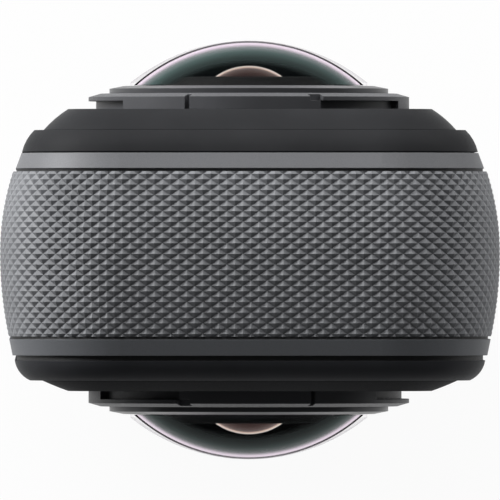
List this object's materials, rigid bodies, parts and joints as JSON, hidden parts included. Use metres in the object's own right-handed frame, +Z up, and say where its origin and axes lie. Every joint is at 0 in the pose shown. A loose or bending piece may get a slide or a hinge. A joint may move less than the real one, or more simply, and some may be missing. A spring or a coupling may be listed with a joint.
{
  "type": "360 degree camera",
  "caption": "Pocket 360 degree camera: upright crowned body with a diamond grip band, domed fisheye lenses back to back, a rear touch screen, side battery and tripod socket.",
  "frame": {"origin": "centre of the base, on the surface the camera stands on", "axes": "+Z up along the body's height, -Y along the front lens's view, +Y out of the screen, +X to the right of the top view"},
  "size_m": [0.046, 0.0386, 0.1245],
  "materials": {
    "grip_texture": "satin, moulded diamond relief",
    "satin_trim": "satin grey paint",
    "dark_trim": "satin dark grey paint",
    "frame_black": "matte moulded",
    "housing_black": "fine moulded grain",
    "cover_black": "fine moulded grain",
    "pad_rubber": "ribbed rubber",
    "light_pipe": "frosted clear",
    "steel": "brushed",
    "lens_glass": "coated optical glass",
    "coated_glass": "amber coated optical glass",
    "ring_black": "satin anodised look",
    "barrel_black": "light absorbing black",
    "mount_black": "matte moulded",
    "seal_rubber": "soft matte",
    "cast_alloy": "cast",
    "circuit_board": "solder mask",
    "sensor_silicon": "covered chip",
    "flex_film": "amber film",
    "screen_glass": "black backed gloss",
    "display_dark": "switched off panel",
    "button_gloss": "satin gloss",
    "side_button": "satin",
    "battery_wrap": "black wrapped cell",
    "latch_plastic": "satin, ribbed",
    "contact_gold": "gold plated",
    "card_plastic": "matte",
    "socket_steel": "machined"
  },
  "bodies": {
    "camera_body": {"grip_band": "grip_texture", "rear_trim_frame": "satin_trim", "front_trim_frame": "dark_trim", "inner_frame": "frame_black", "rear_housing": "housing_black", "rear_cover_plate": "cover_black", "front_housing": "housing_black", "front_cover_plate": "cover_black", "front_grip_pad": "pad_rubber", "status_lights": "light_pipe", "microphones": "steel", "mic_meshes": "steel", "rear_lens_glass": "lens_glass", "front_lens_glass": "lens_glass", "rear_inner_element": "coated_glass", "front_inner_element": "coated_glass", "rear_lens_ring": "ring_black", "front_lens_ring": "ring_black", "rear_lens_barrel": "barrel_black", "front_lens_barrel": "barrel_black", "rear_lens_mount": "mount_black", "front_lens_mount": "mount_black", "lens_seals": "seal_rubber", "lens_carrier": "cast_alloy", "lens_screws": "steel", "sensor_boards": "circuit_board", "image_sensors": "sensor_silicon", "sensor_flexes": "flex_film", "touch_glass": "screen_glass", "display_panel": "display_dark", "display_flex": "flex_film", "key_board": "circuit_board", "side_key_board": "circuit_board", "button_switches": "steel", "battery_bay": "frame_black", "battery_contacts": "contact_gold", "card_socket": "steel", "usb_door_pin": "steel", "usb_socket": "steel", "main_board": "circuit_board", "processor_shield": "steel", "heat_spreader": "cast_alloy", "antenna": "flex_film", "speaker": "frame_black", "speaker_grille": "mount_black", "base_plate": "frame_black", "tripod_insert": "socket_steel", "housing_screws": "steel"},
    "shutter_button": {"shutter_button": "button_gloss"},
    "lens_switch_button": {"lens_switch_button": "button_gloss"},
    "power_button": {"power_button": "side_button"},
    "quick_button": {"quick_button": "side_button"},
    "usb_door": {"usb_door": "grip_texture", "usb_door_seal": "seal_rubber"},
    "battery": {"battery_pack": "battery_wrap", "battery_cover": "grip_texture", "battery_seal": "seal_rubber"},
    "upper_latch": {"upper_latch": "latch_plastic"},
    "lower_latch": {"lower_latch": "latch_plastic"},
    "memory_card": {"memory_card": "card_plastic"}
  },
  "joints": [
    {"name": "shutter_press", "type": "slide", "parent": "camera_body", "child": "shutter_button", "axis": [0, -1, 0], "range_m": [0, 0.0004], "stiffness_N_per_m": 1500},
    {"name": "lens_switch_press", "type": "slide", "parent": "camera_body", "child": "lens_switch_button", "axis": [0, -1, 0], "range_m": [0, 0.0004], "stiffness_N_per_m": 1500},
    {"name": "power_press", "type": "slide", "parent": "camera_body", "child": "power_button", "axis": [-1, 0, 0], "range_m": [0, 0.0004], "stiffness_N_per_m": 1500},
    {"name": "quick_press", "type": "slide", "parent": "camera_body", "child": "quick_button", "axis": [-1, 0, 0], "range_m": [0, 0.0004], "stiffness_N_per_m": 1500},
    {"name": "usb_door_hinge", "type": "hinge", "parent": "camera_body", "child": "usb_door", "pos_m": [-0.02157, -0.00482, 0.06523], "axis": [0, 0, 1], "range_deg": [0, 90]},
    {"name": "battery_slide", "type": "slide", "parent": "camera_body", "child": "battery", "axis": [-1, 0, 0], "range_m": [0, 0.038]},
    {"name": "upper_latch_slide", "type": "slide", "parent": "battery", "child": "upper_latch", "axis": [0, 0, -1], "range_m": [0, 0.0016], "stiffness_N_per_m": 400},
    {"name": "lower_latch_slide", "type": "slide", "parent": "battery", "child": "lower_latch", "axis": [0, 0, 1], "range_m": [0, 0.0016], "stiffness_N_per_m": 400},
    {"name": "card_push", "type": "slide", "parent": "camera_body", "child": "memory_card", "axis": [1, 0, 0], "range_m": [0, 0.0006], "stiffness_N_per_m": 600}
  ]
}
